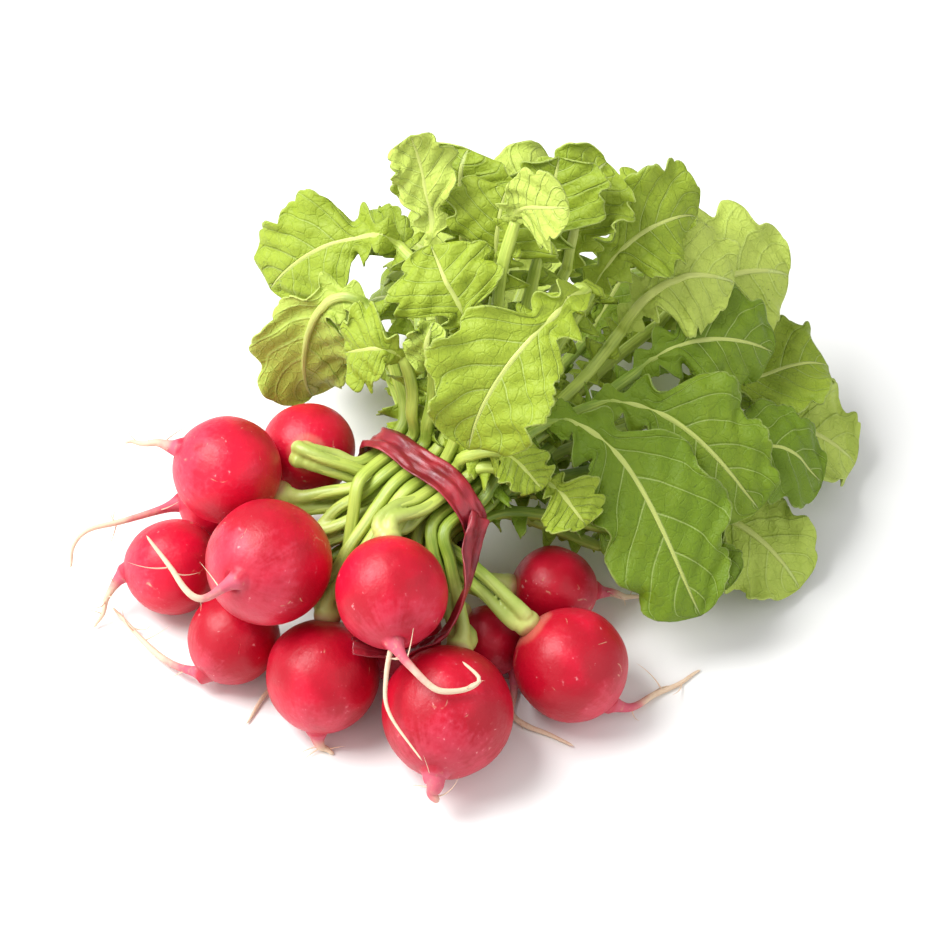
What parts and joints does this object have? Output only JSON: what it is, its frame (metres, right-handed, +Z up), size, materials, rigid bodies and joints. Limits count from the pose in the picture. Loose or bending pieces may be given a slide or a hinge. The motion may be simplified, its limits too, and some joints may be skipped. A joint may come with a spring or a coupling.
{
  "type": "bunch of radishes",
  "caption": "Bunch of round red garden radishes with taproots and leafy green tops, lying on its side, the stalks bound by a flat crumpled ribbon tie.",
  "frame": {"origin": "centre of the bunch's bounding box at its base, on the surface that it lies on", "axes": "+X along the bundle from the roots through the tie to the leaf tips, +Z up from the surface"},
  "size_m": [0.202, 0.1694, 0.1181],
  "materials": {
    "radish_skin": "thin waxy skin, satin, crimson with pale pink streaks and white specks",
    "radish_leaf": "soft matt yellow-green leaf, slightly hairy, with pale raised veins and pale smooth stalks",
    "ribbon_tie": "crumpled burgundy film ribbon with a soft sheen"
  },
  "bodies": {
    "root": {"radish_01": "radish_skin", "radish_02": "radish_skin", "radish_03": "radish_skin", "radish_04": "radish_skin", "radish_05": "radish_skin", "radish_06": "radish_skin", "radish_07": "radish_skin", "radish_08": "radish_skin", "radish_09": "radish_skin", "radish_10": "radish_skin", "radish_11": "radish_skin", "radish_12": "radish_skin", "radish_13": "radish_skin", "leaf_top_01": "radish_leaf", "leaf_top_02": "radish_leaf", "leaf_top_03": "radish_leaf", "leaf_top_04": "radish_leaf", "leaf_top_05": "radish_leaf", "leaf_top_06": "radish_leaf", "leaf_top_07": "radish_leaf", "leaf_top_08": "radish_leaf", "leaf_top_09": "radish_leaf", "leaf_top_10": "radish_leaf", "leaf_top_11": "radish_leaf", "leaf_top_12": "radish_leaf", "leaf_top_13": "radish_leaf", "tie": "ribbon_tie"}
  },
  "joints": []
}
